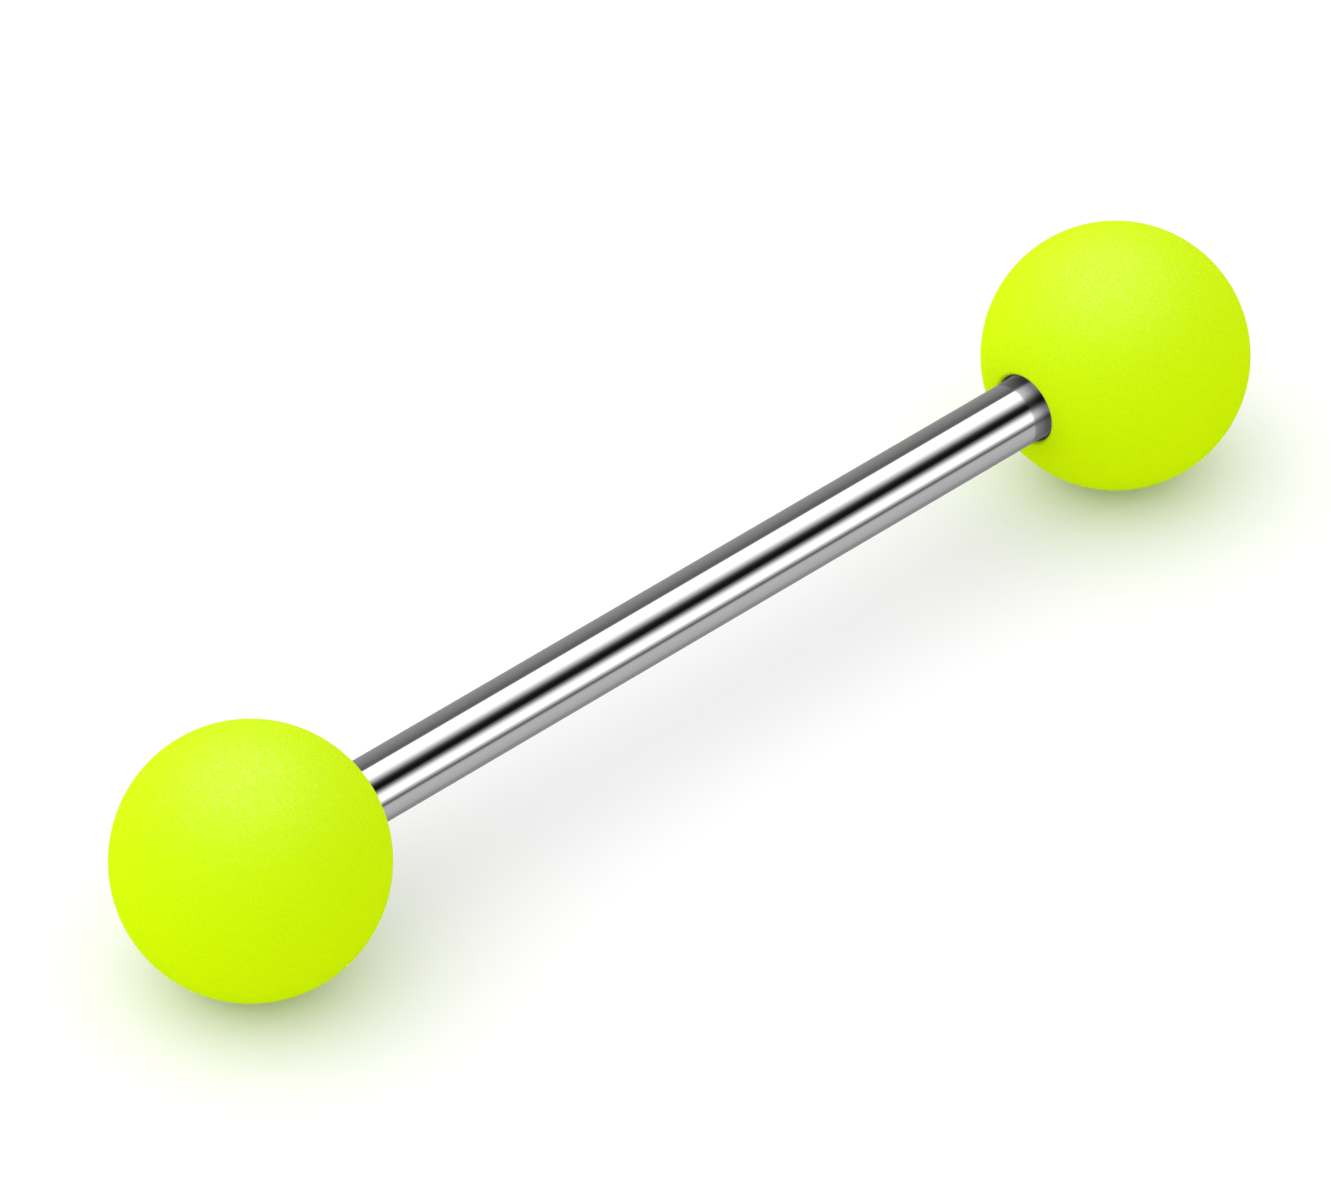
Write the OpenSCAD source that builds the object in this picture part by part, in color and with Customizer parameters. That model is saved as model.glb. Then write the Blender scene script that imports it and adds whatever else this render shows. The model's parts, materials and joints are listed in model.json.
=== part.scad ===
// Tongue barbell: a straight polished steel bar with a screw-on ball at each end.
// It lies on its two balls, with the bar along X. The origin is on the surface under
// the middle of the bar, and Z is up. All sizes are in millimetres.

/* [Bar] */
// Diameter of the bar, 14 gauge
bar_d = 1.6; // [1.5:0.1:2.4]
// Length of the bar from shoulder to shoulder
bar_l = 22; // [12:1:36]
// Bevel on each shoulder, where the bar steps down to its threaded end
bevel = 0.1; // [0.05:0.05:0.3]

/* [Threaded ends] */
// Diameter over the crests of the thread
thread_d = 1.2; // [0.9:0.05:1.3]
// Length of each threaded end, from the shoulder to the tip
thread_l = 3; // [1.5:0.25:3.5]
// Distance from one crest to the next
pitch = 0.25; // [0.2:0.05:0.4]
// Height of a crest over the root
crest_h = 0.13; // [0.05:0.01:0.2]
// Plain neck between the shoulder and the first crest
neck_l = 0.2; // [0.1:0.05:0.5]

/* [Balls] */
// Diameter of each ball
ball_d = 6.4; // [4.6:0.2:10]
// Depth to which the bar's shoulder seats below the rim of the ball's mouth
seat_depth = 0.28; // [0.2:0.02:0.8]
// Rounding of the lip round the mouth
lip_r = 0.08; // [0.02:0.02:0.16]
// Countersink round the start of the tapped hole
hole_bevel = 0.02; // [0.02:0.01:0.1]

/* [Fits] */
// Radial room between the bar and the wall of the mouth
mouth_gap = 0.06; // [0.03:0.01:0.15]
// Radial room between the thread's crests and the hole in the ball
thread_gap = 0.05; // [0.02:0.01:0.1]
// Room between the bar's shoulder and the floor of the mouth
seat_gap = 0.02; // [0.01:0.01:0.05]
// Room between the tip of the threaded end and the bottom of the hole
tip_gap = 0.3; // [0.1:0.1:0.6]

/* [Hidden] */
$fn = 128;

steel = "lightslategray";
neon = [0.83, 0.98, 0.08];

bar_r = bar_d / 2;
ball_r = ball_d / 2;
crest_r = thread_d / 2;
root_r = crest_r - crest_h;
mouth_r = bar_r + mouth_gap;
hole_r = crest_r + thread_gap;

// Height of the mouth's rim above the ball's centre, measured before the lip is rounded
rim_z = sqrt(ball_r * ball_r - mouth_r * mouth_r);
floor_z = rim_z - seat_depth;
hole_end_z = floor_z + seat_gap - thread_l - tip_gap;

// Distance from the middle of the bar to the centre of each ball
ball_x = bar_l / 2 + floor_z + seat_gap;

// Centre of the circle that rounds the lip: it touches the mouth's wall and the ball
lip_x = mouth_r + lip_r;
lip_z = sqrt(pow(ball_r - lip_r, 2) - lip_x * lip_x);
// How far the cutting shapes reach past the ball
past = 1;

crests = floor((thread_l - neck_l - crest_h) / pitch);

// Half section of the bar above its middle, as radius and height, out to one tip
half_section = concat(
    [[bar_r, bar_l / 2 - bevel], [bar_r - bevel, bar_l / 2], [root_r, bar_l / 2]],
    [[root_r, bar_l / 2 + neck_l]],
    [
        for (i = [0 : crests - 1])
            let (start = bar_l / 2 + neck_l + i * pitch)
                each [[crest_r, start + pitch / 2], [root_r, start + pitch]]
    ],
    [[root_r, bar_l / 2 + thread_l - crest_h], [root_r - crest_h, bar_l / 2 + thread_l]],
    [[0, bar_l / 2 + thread_l]]
);

// The same section below the middle, from the tip back to the bar's lower shoulder
lower_section = [
    for (i = [len(half_section) - 1 : -1 : 0])
        [half_section[i][0], -half_section[i][1]]
];

// Shape that rounds the lip, as it is cut from the ball's half section
module lip_cut() {
    reach = (ball_r + past) / (ball_r - lip_r);
    difference() {
        polygon([
            [0, lip_z],
            [lip_x, lip_z],
            [lip_x * reach, lip_z * reach],
            [0, ball_r + past]
        ]);
        translate([lip_x, lip_z]) circle(r = lip_r);
    }
}

// Half section of a ball whose mouth opens upwards, with its centre at the origin
module ball_section() {
    difference() {
        intersection() {
            circle(r = ball_r);
            translate([0, -ball_r]) square([ball_r, ball_d]);
        }
        translate([0, floor_z]) square([mouth_r, ball_r + past - floor_z]);
        translate([0, hole_end_z]) square([hole_r, ball_r - hole_end_z]);
        polygon([
            [0, floor_z - hole_bevel],
            [hole_r, floor_z - hole_bevel],
            [hole_r + hole_bevel, floor_z],
            [hole_r + hole_bevel, floor_z + hole_bevel],
            [0, floor_z + hole_bevel]
        ]);
        lip_cut();
    }
}

// One ball with its mouth facing up, about its own centre
module ball() {
    rotate_extrude() ball_section();
}

// Polished bar with a threaded end on each side, lying along X
module bar() {
    color(steel)
        translate([0, 0, ball_r])
            rotate([0, 90, 0])
                rotate_extrude() polygon(concat(lower_section, half_section));
}

// Ball on the bar's -X end, its mouth facing +X
module near_ball() {
    color(neon)
        translate([-ball_x, 0, ball_r]) rotate([0, 90, 0]) ball();
}

// Ball on the bar's +X end, its mouth facing -X
module far_ball() {
    color(neon)
        translate([ball_x, 0, ball_r]) rotate([0, -90, 0]) ball();
}

bar();
near_ball();
far_ball();
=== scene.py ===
# %% [markdown]
# A tongue barbell is a straight steel bar with a ball screwed onto each end. The packed
# solids already have its true sizes. This lesson dresses them: it turns the bar and the balls
# again as smooth meshes, cuts real screw threads on them, and gives the steel its polish and
# the balls their fluorescent matt grain.
#
# We start with the packed solids. They are the frame that every piece has to fit, so all sizes
# that they hold are read from them and not typed again.

# %% Load the frame
import json
import math

import bmesh
import bpy
import numpy as np
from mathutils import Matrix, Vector


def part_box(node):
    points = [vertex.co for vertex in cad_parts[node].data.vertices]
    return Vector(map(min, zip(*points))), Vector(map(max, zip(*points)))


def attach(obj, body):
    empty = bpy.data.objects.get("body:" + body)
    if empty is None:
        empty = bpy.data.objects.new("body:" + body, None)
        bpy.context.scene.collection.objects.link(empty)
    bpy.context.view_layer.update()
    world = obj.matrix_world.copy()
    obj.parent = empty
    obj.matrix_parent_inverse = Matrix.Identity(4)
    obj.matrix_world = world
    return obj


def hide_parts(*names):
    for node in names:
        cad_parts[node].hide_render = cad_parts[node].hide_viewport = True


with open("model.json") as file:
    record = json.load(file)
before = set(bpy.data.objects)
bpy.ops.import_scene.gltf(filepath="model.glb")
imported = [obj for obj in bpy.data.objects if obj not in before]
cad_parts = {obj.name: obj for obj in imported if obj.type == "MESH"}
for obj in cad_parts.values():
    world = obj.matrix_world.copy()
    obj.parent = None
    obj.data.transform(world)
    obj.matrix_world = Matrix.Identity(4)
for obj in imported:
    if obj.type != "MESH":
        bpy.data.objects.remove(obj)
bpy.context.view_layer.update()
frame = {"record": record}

# %% [markdown]
# The record's mount gives the bar's radius, the length of its plain wall and the height of its
# axis. A ball touches the floor, so its radius is that height, and its far side gives its place.

# %% Sizes read from the frame
MM = 0.001
mount = frame["record"]["mounts"][0]
BAR_R = mount["dims"]["r_mm"] * MM
WALL_X = mount["dims"]["length_mm"] / 2 * MM
AXIS_Z = mount["pos_m"][2]
TIP_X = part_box("bar")[1].x
BALL_R = AXIS_Z
BALL_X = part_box("far_ball")[1].x - BALL_R
print("bar radius", BAR_R, "ball radius", BALL_R, "ball centre", round(BALL_X, 6))

# %% [markdown]
# The rest of the section is known from the drawing of the part: how far the bar steps down to
# its threaded end, and how deep the ball's mouth and tapped hole are. They are named here once.
# Names that end in X are distances from the middle of the bar. RIM_H, SEAT_H and HOLE_END_H
# are heights over a ball's centre, towards its mouth.

# %% Sizes of the ends
THREAD_L = 3.0 * MM
CREST_R = 0.6 * MM
CREST_H = 0.13 * MM
ROOT_R = CREST_R - CREST_H
PITCH = 0.25 * MM
NECK_L = 0.2 * MM
SHOULDER_X = TIP_X - THREAD_L
BEVEL = SHOULDER_X - WALL_X
MOUTH_ROOM = 0.06 * MM
MOUTH_R = BAR_R + MOUTH_ROOM
MOUTH_DEPTH = 0.28 * MM
LIP_R = 0.08 * MM
THREAD_ROOM = 0.05 * MM
HOLE_R = CREST_R + THREAD_ROOM
COUNTERSINK = 0.02 * MM
TIP_ROOM = 0.3 * MM
RIM_H = math.sqrt(BALL_R ** 2 - MOUTH_R ** 2)
SEAT_H = RIM_H - MOUTH_DEPTH
HOLE_END_H = BALL_X - TIP_X - TIP_ROOM
RIM_X = BALL_X - RIM_H
print("in mm, shoulder at", round(SHOULDER_X / MM, 3), "rim of the mouth at", round(RIM_X / MM, 3))

# %% [markdown]
# Everything on this object is turned, so its meshes could be made with the Screw modifier or
# the Spin operator. A short function that lays out the rings itself is easier to check: one
# ring of points for each point of the outline, one single point where the outline meets the
# axis, and faces between neighbours. At the axis two corners of a face fall together, so each
# corner is kept once and the face is a triangle. The faces are then turned to point outwards.

# %% A lathe along X
def lathe(name, outline, sides):
    """A closed mesh turned about the bar's axis. The outline is a list of (x, radius)."""
    turns = 2 * math.pi * np.arange(sides) / sides
    points, rings, faces = [], [], []
    for x, radius in outline:
        first = len(points)
        if radius > 0:
            points += [(x, radius * math.cos(t), AXIS_Z + radius * math.sin(t)) for t in turns]
            rings.append([first + k for k in range(sides)])
        else:
            points.append((x, 0.0, AXIS_Z))
            rings.append([first] * sides)
    for low, high in zip(rings, rings[1:]):
        for k in range(sides):
            n = (k + 1) % sides
            corners = dict.fromkeys((low[k], low[n], high[n], high[k]))
            faces.append(tuple(corners))
    mesh = bpy.data.meshes.new(name)
    mesh.from_pydata(points, [], faces)
    shape = bmesh.new()
    shape.from_mesh(mesh)
    bmesh.ops.recalc_face_normals(shape, faces=shape.faces)
    shape.to_mesh(mesh)
    shape.free()
    piece = bpy.data.objects.new(name, mesh)
    bpy.context.scene.collection.objects.link(piece)
    print(name, len(points), "points,", len(faces), "faces")
    return piece


def steps(start, end, count):
    """The places after start on the way to end, in equal steps, end included."""
    return [start + (end - start) * (k + 1) / count for k in range(count)]

# %% [markdown]
# The bar's outline runs from one tip to the other. The threaded ends need many rings, because
# the thread will be cut by moving their points. The plain wall needs few.

# %% The bar's outline
STEPS_PER_PITCH = 10
WALL_STEPS = 12
BAR_SIDES = 128
thread_steps = round(STEPS_PER_PITCH * (THREAD_L - CREST_H) / PITCH)

half = [(0.0, BAR_R)]
half += [(x, BAR_R) for x in steps(0.0, WALL_X, WALL_STEPS)]
half += [(SHOULDER_X, BAR_R - BEVEL), (SHOULDER_X, ROOT_R)]
half += [(x, ROOT_R) for x in steps(SHOULDER_X, TIP_X - CREST_H, thread_steps)]
half += [(TIP_X, ROOT_R - CREST_H), (TIP_X, 0.0)]
bar_outline = [(-x, radius) for x, radius in reversed(half[1:])] + half
bar = lathe("polished_bar", bar_outline, BAR_SIDES)

# %% [markdown]
# A ball's outline starts at its back pole, follows the sphere to the lip, rounds the lip into
# the mouth, steps in over the seat and goes down the tapped hole to its drilled bottom. The
# hole is drawn a little too wide here, because its ridges are raised inwards later. A sign
# then turns the outline round, so that each mouth looks at the bar.

# %% The balls' outline
BALL_SIDES = 192
SPHERE_STEPS = 110
LIP_STEPS = 14
MOUTH_STEPS = 5
GROOVE_DEPTH = 0.03 * MM
TAP_R = HOLE_R + GROOVE_DEPTH
DRILL_POINT = 0.2 * MM
lip_h = math.sqrt((BALL_R - LIP_R) ** 2 - (MOUTH_R + LIP_R) ** 2)
lip_turn = math.atan2(MOUTH_R + LIP_R, lip_h)
hole_steps = round(STEPS_PER_PITCH * (SEAT_H - HOLE_END_H) / PITCH)


def ball_outline(facing):
    """The outline of the ball whose mouth looks along facing, which is 1 or -1 along X."""
    sphere = [
        (BALL_R * math.cos(t), BALL_R * math.sin(t)) for t in steps(math.pi, lip_turn, SPHERE_STEPS)
    ]
    lip = [
        (lip_h + LIP_R * math.cos(t), MOUTH_R + LIP_R + LIP_R * math.sin(t))
        for t in steps(lip_turn, -math.pi / 2, LIP_STEPS)
    ]
    mouth = [(h, MOUTH_R) for h in steps(lip_h, SEAT_H, MOUTH_STEPS)]
    seat = [(SEAT_H, TAP_R + COUNTERSINK), (SEAT_H - COUNTERSINK, TAP_R)]
    hole = [
        (h, TAP_R) for h in steps(SEAT_H - COUNTERSINK, HOLE_END_H + DRILL_POINT, hole_steps)
    ]
    whole = [(-BALL_R, 0.0)] + sphere + lip + mouth + seat + hole + [(HOLE_END_H, 0.0)]
    return [(facing * (h - BALL_X), radius) for h, radius in whole]


near_ball = lathe("near_neon_ball", ball_outline(1), BALL_SIDES)
far_ball = lathe("far_neon_ball", ball_outline(-1), BALL_SIDES)

# %% [markdown]
# The threads are what repeats here, so Geometry Nodes make them. That node tree has to do
# sums on values, and so do the materials later, so we first write a small helper: a class that
# wraps a socket, on which ordinary arithmetic adds Math nodes, and one method that makes any
# other node from its type, its settings and the values or links of its sockets.

# %% Nodes written as Python
class Socket:
    """An output of a node. Arithmetic on it adds Math nodes to its tree."""

    def __init__(self, tree, output):
        self.tree = tree
        self.output = output

    def maths(self, operation, *others):
        return self.tree.maths(operation, self, *others)

    def __add__(self, other):
        return self.maths("ADD", other)

    def __sub__(self, other):
        return self.maths("SUBTRACT", other)

    def __rsub__(self, other):
        return self.tree.maths("SUBTRACT", other, self)

    def __mul__(self, other):
        return self.maths("MULTIPLY", other)

    def __truediv__(self, other):
        return self.maths("DIVIDE", other)

    def __pow__(self, other):
        return self.maths("POWER", other)

    __radd__ = __add__
    __rmul__ = __mul__


class Tree:
    """A node tree that is being built, for a material, the world or Geometry Nodes."""

    def __init__(self, tree):
        self.tree = tree
        tree.nodes.clear()

    def node(self, kind, settings=None, sockets=None, out=0):
        made = self.tree.nodes.new(kind)
        for name, value in (settings or {}).items():
            if name == "stops":
                self.set_stops(made.color_ramp, value)
            else:
                setattr(made, name, value)
        for name, value in (sockets or {}).items():
            if isinstance(value, Socket):
                self.tree.links.new(value.output, made.inputs[name])
            else:
                made.inputs[name].default_value = value
        return Socket(self, made.outputs[out]) if made.outputs else made

    def set_stops(self, ramp, stops):
        while len(ramp.elements) < len(stops):
            ramp.elements.new(0.5)
        for element, (place, level) in zip(ramp.elements, stops):
            element.position = place
            element.color = (level, level, level, 1)

    def maths(self, operation, *values):
        return self.node("ShaderNodeMath", {"operation": operation}, dict(enumerate(values)))

    def axes(self, vector):
        """The X, Y and Z of a vector."""
        split = self.node("ShaderNodeSeparateXYZ", {}, {0: vector}).output.node
        return tuple(Socket(self, part) for part in split.outputs)

    def rise(self, value, low, high, smooth=True):
        """0 where value is under low, 1 over high, and a slope between them."""
        curve = {"interpolation_type": "SMOOTHSTEP" if smooth else "LINEAR"}
        limits = {"Value": value, "From Min": low, "From Max": high}
        return self.node("ShaderNodeMapRange", curve, limits)

    def noise(self, place, scale, detail, distortion=0.0):
        look = {"Vector": place, "Scale": scale, "Detail": detail, "Distortion": distortion}
        return self.node("ShaderNodeTexNoise", {}, look)

    def mix(self, factor, first, second):
        """A mix of two colours."""
        ends = {0: factor, 6: first, 7: second}
        return self.node("ShaderNodeMix", {"data_type": "RGBA"}, ends, out=2)


print("node helper ready, with", [name for name in vars(Tree) if not name.startswith("_")])

# %% [markdown]
# A screw thread could be built by sweeping a small triangle along a helix, but joining that
# sweep to the round core cleanly is hard. On a lathed core it is simpler to move the points
# that are there: outwards by a triangle wave that runs along X and also once round for each
# pitch, which makes it a helix. The wave's sign gives a right-handed thread on both ends. The
# push is divided by the point's distance from the axis, so a least distance keeps that safe.
#
# The tapped hole in a ball is the same rule with a negative height, half a pitch on, so its
# ridges lie in the grooves of the bar. They are kept shallow enough to clear the crests,
# because a ball is drawn straight off the bar when a joint moves.

# %% The tree that cuts a thread
CLOSEST = 0.01 * MM


def thread_tree():
    """Geometry Nodes that move the points of a round core into a helical thread."""
    group = bpy.data.node_groups.new("cut thread", "GeometryNodeTree")
    sizes = ("Axis Height", "Start", "End", "Reach", "Pitch", "Height", "Phase")
    group.interface.new_socket("Geometry", in_out="INPUT", socket_type="NodeSocketGeometry")
    for name in sizes:
        group.interface.new_socket(name, in_out="INPUT", socket_type="NodeSocketFloat")
    group.interface.new_socket("Material", in_out="INPUT", socket_type="NodeSocketMaterial")
    group.interface.new_socket("Geometry", in_out="OUTPUT", socket_type="NodeSocketGeometry")

    tree = Tree(group)
    entry = group.nodes.new("NodeGroupInput")
    given = {name: Socket(tree, entry.outputs[name]) for name in sizes + ("Geometry", "Material")}
    x, y, z = tree.axes(tree.node("GeometryNodeInputPosition"))
    above = z - given["Axis Height"]
    radius = (y * y + above * above) ** 0.5
    turn = tree.maths("ARCTAN2", above, y) / (2 * math.pi)

    wave = (x / given["Pitch"] - turn + given["Phase"]).maths("FRACT")
    ridge = 1 - (2 * wave - 1).maths("ABSOLUTE")
    along = x.maths("ABSOLUTE")
    fade_in = tree.rise(along, given["Start"], given["Start"] + given["Pitch"], smooth=False)
    fade_out = 1 - tree.rise(along, given["End"] - given["Pitch"], given["End"], smooth=False)
    lift = ridge * fade_in * fade_out * given["Height"] / radius.maths("MAXIMUM", CLOSEST)
    offset = tree.node("ShaderNodeCombineXYZ", {}, {"Y": y * lift, "Z": above * lift})

    inner = tree.node("FunctionNodeCompare", {"operation": "LESS_THAN"},
                      {0: radius, 1: given["Reach"]})
    moved = tree.node("GeometryNodeSetPosition", {},
                      {"Geometry": given["Geometry"], "Selection": inner, "Offset": offset})
    real = tree.node("GeometryNodeRealizeInstances", {}, {"Geometry": moved})
    done = tree.node("GeometryNodeSetMaterial", {},
                     {"Geometry": real, "Material": given["Material"]})
    tree.node("NodeGroupOutput", {}, {"Geometry": done})
    print(group.name, len(group.nodes), "nodes")
    return group


cut_thread = thread_tree()

# %% [markdown]
# A Geometry Nodes modifier could stay on the piece, but the export wants plain meshes. So we
# set its inputs by their identifiers, ask Blender for the evaluated mesh, keep that, and take
# the modifier off again. Edges sharper than an angle stay crisp, and all others are smooth.

# %% Cut a thread on a piece
SHARP = math.radians(38)


def cut(piece, material, **sizes):
    """Run the thread tree on a piece and keep the result as its mesh."""
    modifier = piece.modifiers.new("thread", "NODES")
    modifier.node_group = cut_thread
    known = {s.name: s.identifier for s in cut_thread.interface.items_tree if s.in_out == "INPUT"}
    for name, value in sizes.items():
        modifier[known[name.replace("_", " ").title()]] = value
    modifier[known["Material"]] = material
    bpy.context.view_layer.update()
    evaluated = piece.evaluated_get(bpy.context.evaluated_depsgraph_get())
    mesh = bpy.data.meshes.new_from_object(evaluated)
    piece.modifiers.remove(modifier)
    piece.data = mesh
    mesh.shade_smooth()
    mesh.set_sharp_from_angle(angle=SHARP)
    print(piece.name, "thread cut,", len(mesh.polygons), "faces")


print("edges sharper than", round(math.degrees(SHARP)), "degrees stay crisp")

# %% [markdown]
# The bar is surgical steel, turned and polished to a mirror. Almost all of its look is what it
# reflects, so the material itself is quiet: a metal with very low roughness, a little unevenness
# left by the polishing, and fine turning lines round the bar that only soften the edges of the
# reflections. They could be modelled, but they are far finer than the mesh, so a noise that is
# stretched round the bar gives them as roughness and bump.
#
# Just before each ball's mouth the bar is rougher and painted darker, and darker still towards
# the ball. That darkening is painted shade and a painted reflection of the ball, which is itself
# left out of reflections. The reach is longer at the far ball, where the bright bands end well
# before the mouth, than at the near ball. The thread itself is bare turned steel.

# %% Polished steel
# The painted shade near each mouth: how far it reaches from the rim at each end, and its soft edge.
FAR_SHADED_REACH = 0.42 * MM
NEAR_SHADED_REACH = 0.2 * MM
SHADED_REACH_EDGE = (-0.12, 0.17)
STEEL = (0.62, 0.62, 0.63, 1)
# The colour of the painted shade and painted reflection of the ball at each mouth.
PAINTED_SHADE_STEEL = (0.05, 0.05, 0.053, 1)
CLOUDED_STEEL = (0.3, 0.3, 0.31, 1)
CLOUD_SCALE = 0.9 / MM
RING_SCALE = 26 / MM
RING_STRETCH = 0.4 / MM
RING_DEPTH = 0.00002 * MM
POLISHED = 0.03
SHADED_REACH_MATT = 0.16
THREAD_MATT = 0.2


def steel_material():
    """Polished steel, a rougher reach with painted shade at each mouth, bare steel on the thread.
    """
    material = bpy.data.materials.new("polished surgical steel")
    material.use_nodes = True
    tree = Tree(material.node_tree)
    place = tree.node("ShaderNodeTexCoord", out="Object")
    x, y, z = tree.axes(place)
    along = x.maths("ABSOLUTE")
    far_end = x.maths("GREATER_THAN", 0.0)
    shaded_reach = NEAR_SHADED_REACH + (FAR_SHADED_REACH - NEAR_SHADED_REACH) * far_end
    share = (along - RIM_X) / shaded_reach + 1
    thread = tree.rise(along, WALL_X, SHOULDER_X)
    # Rougher near each mouth, and painted with shade there.
    seat = tree.rise(share, *SHADED_REACH_EDGE) * (1 - thread)
    depth = tree.rise(share, 0.0, 1.0, smooth=False)

    cloud = tree.noise(place, CLOUD_SCALE, detail=3.0)
    stretched = {"X": x * RING_SCALE, "Y": y * RING_STRETCH, "Z": z * RING_STRETCH}
    rings = tree.noise(tree.node("ShaderNodeCombineXYZ", {}, stretched), 1.0, detail=2.0)
    bump = tree.node("ShaderNodeBump", {},
                     {"Height": rings, "Distance": RING_DEPTH, "Strength": 1.0})

    polish = POLISHED + 0.03 * cloud + 0.02 * rings
    roughness = polish + SHADED_REACH_MATT * seat + THREAD_MATT * thread
    # Painted shade and painted reflection of the ball, darkest at the mouth.
    painted_shade = seat * (0.5 + 0.42 * depth)
    tone = tree.mix(painted_shade, STEEL, PAINTED_SHADE_STEEL)
    toned = tree.mix(0.08 * cloud, tone, CLOUDED_STEEL)

    surface = tree.node("ShaderNodeBsdfPrincipled", {}, {
        "Base Color": toned, "Metallic": 1.0, "Roughness": roughness, "Normal": bump,
    })
    tree.node("ShaderNodeOutputMaterial", {}, {"Surface": surface})
    print(material.name, len(material.node_tree.nodes), "nodes")
    return material


steel = steel_material()

# %% [markdown]
# The balls are fluorescent acrylic. A fluorescent pigment takes in blue and violet light and
# gives it out again as yellow-green, so a ball sends back more yellow-green than falls on it
# and shows little shade. A base colour alone can't do that. So a strong base colour is joined
# by a small even glow of the surface itself, and the diffuse roughness keeps the edges bright.
#
# The surface is matt, with fine wrinkles about a tenth of a millimetre apart. That is far too
# fine to model, so it is bump and gloss. A wrinkle is a thin line where a noise passes through
# the middle of its range, and a second noise adds a softer grain. The white sheen of the
# highlight is a very thin coat, thicker on the wrinkles, so they show there. A coat is used
# because its weight may change over a surface, while the specular level has to be one number.
#
# The mouth and the tapped hole are painted greyer and darker, which is painted shade in the
# hollow, and they hardly glow. A point is inside when it is nearer to the ball's centre than the
# outer skin is.

# %% Fluorescent acrylic
WRINKLE = 0.1 * MM
WRINKLE_LINE = 0.05
WRINKLE_DEPTH = 0.012 * MM
SHEEN = 0.014
WRINKLE_SHEEN = 0.033
SHEEN_ROUGHNESS = 0.62
MATT = 0.5
PATCH_SCALE = 0.3 / MM
DEEP_NEON = (0.417, 0.611, 0.0002, 1)
BRIGHT_NEON = (0.461, 0.664, 0.0008, 1)
DEEP_GLOW = (0.078, 0.098, 0.0002, 1)
BRIGHT_GLOW = (0.082, 0.102, 0.0004, 1)
# The colour of the painted shade in the mouth and the tapped hole.
INNER_WALL_SHADE = (0.15, 0.17, 0.08, 1)
INNER_GLOW = (0.018, 0.018, 0.016, 1)
SKIN_BOTTOM = BALL_R - 0.12 * MM
SKIN_TOP = BALL_R - 0.03 * MM


def neon_material(name, centre_x):
    """Fluorescent matt acrylic, for the ball whose centre is at centre_x."""
    material = bpy.data.materials.new(name)
    material.use_nodes = True
    material.cycles.emission_sampling = "NONE"
    tree = Tree(material.node_tree)
    place = tree.node("ShaderNodeTexCoord", out="Object")
    x, y, z = tree.axes(place)
    across = x - centre_x
    above = z - AXIS_Z
    from_centre = (across * across + y * y + above * above) ** 0.5
    inside = 1 - tree.rise(from_centre, SKIN_BOTTOM, SKIN_TOP)

    folds = tree.noise(place, 1 / WRINKLE, detail=1.0, distortion=0.5)
    crease = 1 - tree.rise((folds - 0.5).maths("ABSOLUTE"), 0.0, WRINKLE_LINE)
    grain = tree.noise(place, 1 / WRINKLE, detail=4.0)
    patches = tree.noise(place, PATCH_SCALE, detail=2.0)
    height = {"Height": 0.2 * crease + 0.5 * grain, "Distance": WRINKLE_DEPTH, "Strength": 1.0}
    bump = tree.node("ShaderNodeBump", {}, height)

    shade = 0.5 * patches + 0.5 * grain
    # Inside the mouth and the hole the base colour is painted shade.
    base = tree.mix(inside, tree.mix(shade, DEEP_NEON, BRIGHT_NEON), INNER_WALL_SHADE)
    glow = tree.mix(inside, tree.mix(shade, DEEP_GLOW, BRIGHT_GLOW), INNER_GLOW)
    roughness = MATT + 0.1 * grain
    sheen = (SHEEN + WRINKLE_SHEEN * crease) * (1 - inside)

    surface = tree.node("ShaderNodeBsdfPrincipled", {}, {
        "Base Color": base, "Roughness": roughness, "Normal": bump, "Emission Color": glow,
        "Emission Strength": 1.0, "Specular IOR Level": 0.0, "Diffuse Roughness": MATT,
        "Coat Weight": sheen, "Coat Roughness": SHEEN_ROUGHNESS, "Coat IOR": 1.5,
    })
    tree.node("ShaderNodeOutputMaterial", {}, {"Surface": surface})
    print(material.name, len(material.node_tree.nodes), "nodes")
    return material


near_neon = neon_material("neon acrylic", -BALL_X)
far_neon = neon_material("neon acrylic far", BALL_X)

# %% [markdown]
# Now the threads can be cut. The bar's runs from its neck to its tip. A tapped hole's runs from
# its countersink to the drilled bottom, and its height is negative, so it rises inwards.

# %% Threads on the bar and in the balls
TAP_RIDGE = 0.05 * MM
HALF_A_PITCH = 0.5

cut(bar, steel, axis_height=AXIS_Z, start=SHOULDER_X + NECK_L, end=TIP_X - CREST_H,
    reach=HOLE_R, pitch=PITCH, height=CREST_H, phase=0.0)
for ball, neon in ((near_ball, near_neon), (far_ball, far_neon)):
    cut(ball, neon, axis_height=AXIS_Z, start=BALL_X - SEAT_H,
        end=BALL_X - HOLE_END_H - DRILL_POINT, reach=TAP_R + COUNTERSINK / 2, pitch=PITCH,
        height=-TAP_RIDGE, phase=HALF_A_PITCH)

# %% [markdown]
# Each piece now stands for its packed solid and moves with the same body. The balls are left
# out of reflections, so that the bar's bands stay clean up to the mouth.

# %% Fit the pieces to the frame
for piece, body, slot in ((bar, "bar", "steel"), (near_ball, "near_ball", "neon_acrylic"),
                          (far_ball, "far_ball", "neon_acrylic")):
    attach(piece, body)
    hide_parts(body)
    piece.visible_glossy = piece is bar
    print(piece.name, "rides on", body)

# %% [markdown]
# The floor is a wide plain sheet in a pale matt white. It is large, so that a low camera still
# sees it run out to the horizon. It is left out of reflections too: what the bar shows of it is
# part of the studio's ramp below.

# %% Floor
FLOOR_HALF = 20.0
FLOOR_WHITE = (0.772, 0.763, 0.778, 1)


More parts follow.
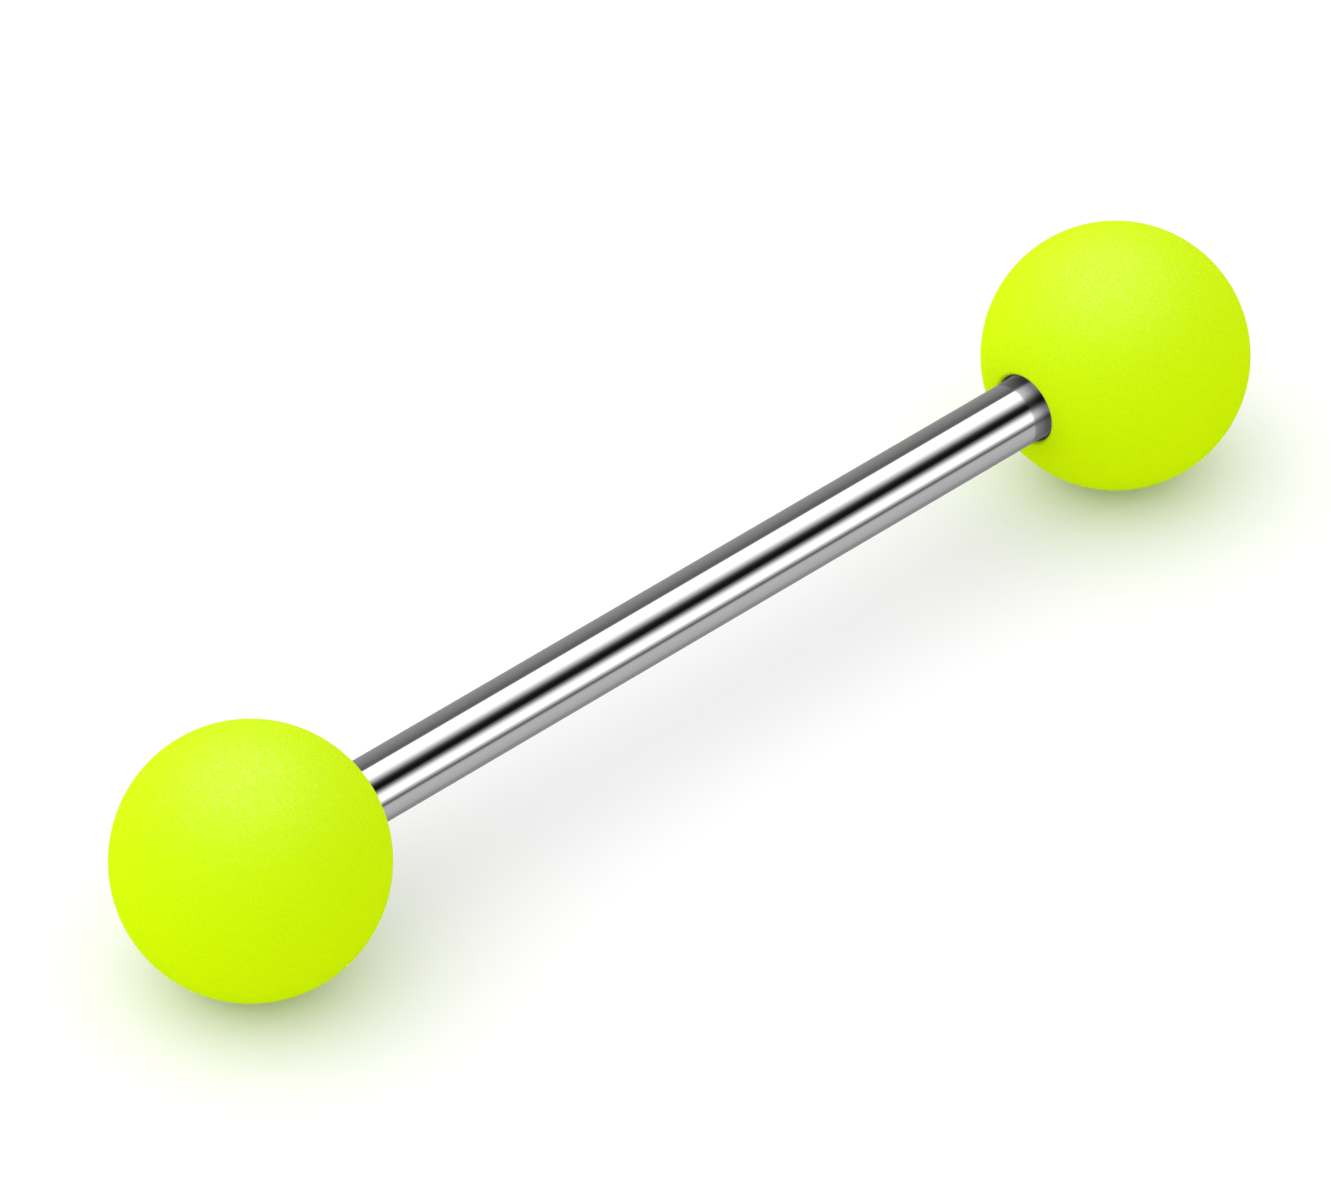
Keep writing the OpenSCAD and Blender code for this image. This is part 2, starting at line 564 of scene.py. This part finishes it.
def floor_material():
    material = bpy.data.materials.new("pale floor")
    material.use_nodes = True
    tree = Tree(material.node_tree)
    surface = tree.node("ShaderNodeBsdfPrincipled", {}, {
        "Base Color": FLOOR_WHITE, "Roughness": 1.0, "Specular IOR Level": 0.0,
    })
    tree.node("ShaderNodeOutputMaterial", {}, {"Surface": surface})
    return material


floor_mesh = bpy.data.meshes.new("floor")
corners = [(-FLOOR_HALF, -FLOOR_HALF, 0), (FLOOR_HALF, -FLOOR_HALF, 0),
           (FLOOR_HALF, FLOOR_HALF, 0), (-FLOOR_HALF, FLOOR_HALF, 0)]
floor_mesh.from_pydata(corners, [], [(0, 1, 2, 3)])
floor = bpy.data.objects.new("floor", floor_mesh)
floor_mesh.materials.append(floor_material())
bpy.context.scene.collection.objects.link(floor)
floor.visible_glossy = False
print("floor", 2 * FLOOR_HALF, "m wide")

# %% [markdown]
# The light is a plain white studio, wide and soft, which comes from the world itself. What a
# matt surface sees is a white dome that is a little brighter towards the picture's left. What
# the polished bar sees is the studio as a photographer sets it for jewellery: long white cards
# and black flags that lie along the bar, so that its reflection breaks into clean bands. A
# direction is turned into its angle round the bar, and one ramp gives the brightness for each
# angle.
#
# The angle is 0 at the level of the floor on the camera's side, 90 straight up and 180 at floor
# level behind the bar. The ramp starts below the floor on the far side, at -133, because that
# is where the bar's own outline hides the join. A ramp holds levels up to 1, so they are
# halved in it and doubled by the strength. The doubling is left out for light that the bar
# throws onto matt things, which would otherwise get bright streaks.

# %% Studio
RAMP_START = -133.0
DOME = 1.465
DOME_LEAN = (-0.26, 0.13, 0.03)
CARD = 1.9
RAMP_SCALE = 2.0
STUDIO = [
    (-133, 0.30), (-88, 0.37), (-68, 0.60), (-40, 0.72), (-27, 0.69), (-20, 0.20), (-16, 0.20),
    (-6, 0.95), (0, CARD), (14, CARD), (23, 1.26), (32, 0.33), (40, 0.012), (52, 0.012),
    (60, 0.11), (70, 0.67), (80, 1.5), (88, CARD), (117, CARD), (122, 0.19), (132, 0.19),
    (145, 0.27), (161, 0.34), (180, 0.38), (227, 0.40),
]


def studio_world():
    world = bpy.data.worlds.new("studio")
    bpy.context.scene.world = world
    world.use_nodes = True
    world.cycles.sampling_method = "NONE"
    tree = Tree(world.node_tree)
    ray = tree.node("ShaderNodeTexCoord", out="Generated")
    y, z = tree.axes(ray)[1:]
    angle = tree.maths("ARCTAN2", z, 0 - y)
    share = ((angle - math.radians(RAMP_START)) / (2 * math.pi)).maths("FRACT")
    stops = [((degrees - RAMP_START) / 360, level / RAMP_SCALE) for degrees, level in STUDIO]
    bands = tree.node("ShaderNodeValToRGB", {"stops": stops}, {0: share})
    scattered = tree.node("ShaderNodeLightPath", out="Diffuse Depth").maths("MINIMUM", 1.0)
    cards = {"Color": bands, "Strength": RAMP_SCALE - scattered}
    mirror = tree.node("ShaderNodeBackground", {}, cards)
    lean = tree.node("ShaderNodeVectorMath", {"operation": "DOT_PRODUCT"},
                     {0: ray, 1: DOME_LEAN}, out="Value")
    even = {"Color": (1, 1, 1, 1), "Strength": DOME * (1 + lean)}
    dome = tree.node("ShaderNodeBackground", {}, even)
    glossy = tree.node("ShaderNodeLightPath", out="Is Glossy Ray")
    seen = tree.node("ShaderNodeMixShader", {}, {0: glossy, 1: dome, 2: mirror})
    tree.node("ShaderNodeOutputWorld", {}, {"Surface": seen})
    print(world.name, len(world.node_tree.nodes), "nodes,", len(STUDIO), "stops round the bar")


studio_world()

# %% [markdown]
# One large softbox overhead, a little behind the barbell, gives each ball its wide white sheen,
# in which the wrinkles show. It lights nothing else: the dome already does that.

# %% Softbox
SOFTBOX_WAY = Vector((0.06, 0.26, 0.96)).normalized()
SOFTBOX_AWAY = 0.4
SOFTBOX_SIZE = 0.55
SOFTBOX_WATTS = 113.0

softbox_light = bpy.data.lights.new("softbox", "AREA")
softbox_light.shape = "DISK"
softbox_light.size = SOFTBOX_SIZE
softbox_light.energy = SOFTBOX_WATTS
softbox = bpy.data.objects.new("softbox", softbox_light)
bpy.context.scene.collection.objects.link(softbox)
softbox.location = SOFTBOX_WAY * SOFTBOX_AWAY + Vector((0, 0, AXIS_Z))
softbox.rotation_euler = SOFTBOX_WAY.to_track_quat("Z", "Y").to_euler()
softbox.visible_camera = False
softbox.visible_diffuse = False
lit = bpy.data.collections.new("lit by the softbox")
for ball in (near_ball, far_ball):
    lit.objects.link(ball)
softbox.light_linking.receiver_collection = lit

# %% [markdown]
# The camera stands where the photographer's did. Its place was found from the outlines of the
# two balls, the edges of the bar and the rim of the mouth. It is far away with a long lens.

# %% Camera
AZIMUTH = math.radians(-43.74)
ELEVATION = math.radians(37.52)
DISTANCE = 276.8 * MM
FOCAL_SHARE = 9.015
SENSOR = 36.0
AIM_RIGHT = -0.677 * MM
AIM_UP = 0.251 * MM
NEAREST_SEEN = 0.01
FARTHEST_SEEN = 100.0

right = Vector((math.cos(AZIMUTH), math.sin(AZIMUTH), 0))
back = Vector((math.sin(AZIMUTH) * math.cos(ELEVATION), -math.cos(AZIMUTH) * math.cos(ELEVATION),
               math.sin(ELEVATION)))
up = back.cross(right)
aim = Vector((0, 0, AXIS_Z)) + AIM_RIGHT * right + AIM_UP * up

camera_data = bpy.data.cameras.new("camera")
camera_data.sensor_width = SENSOR
camera_data.lens = FOCAL_SHARE * SENSOR
camera_data.clip_start = NEAREST_SEEN
camera_data.clip_end = FARTHEST_SEEN
camera = bpy.data.objects.new("camera", camera_data)
camera.location = aim + DISTANCE * back
camera.rotation_euler = back.to_track_quat("Z", "Y").to_euler()
bpy.context.scene.collection.objects.link(camera)
bpy.context.scene.camera = camera
bpy.context.scene.view_settings.view_transform = "Standard"
print("camera", [round(value / MM, 1) for value in camera.location], "mm, lens", camera_data.lens)

# %% [markdown]
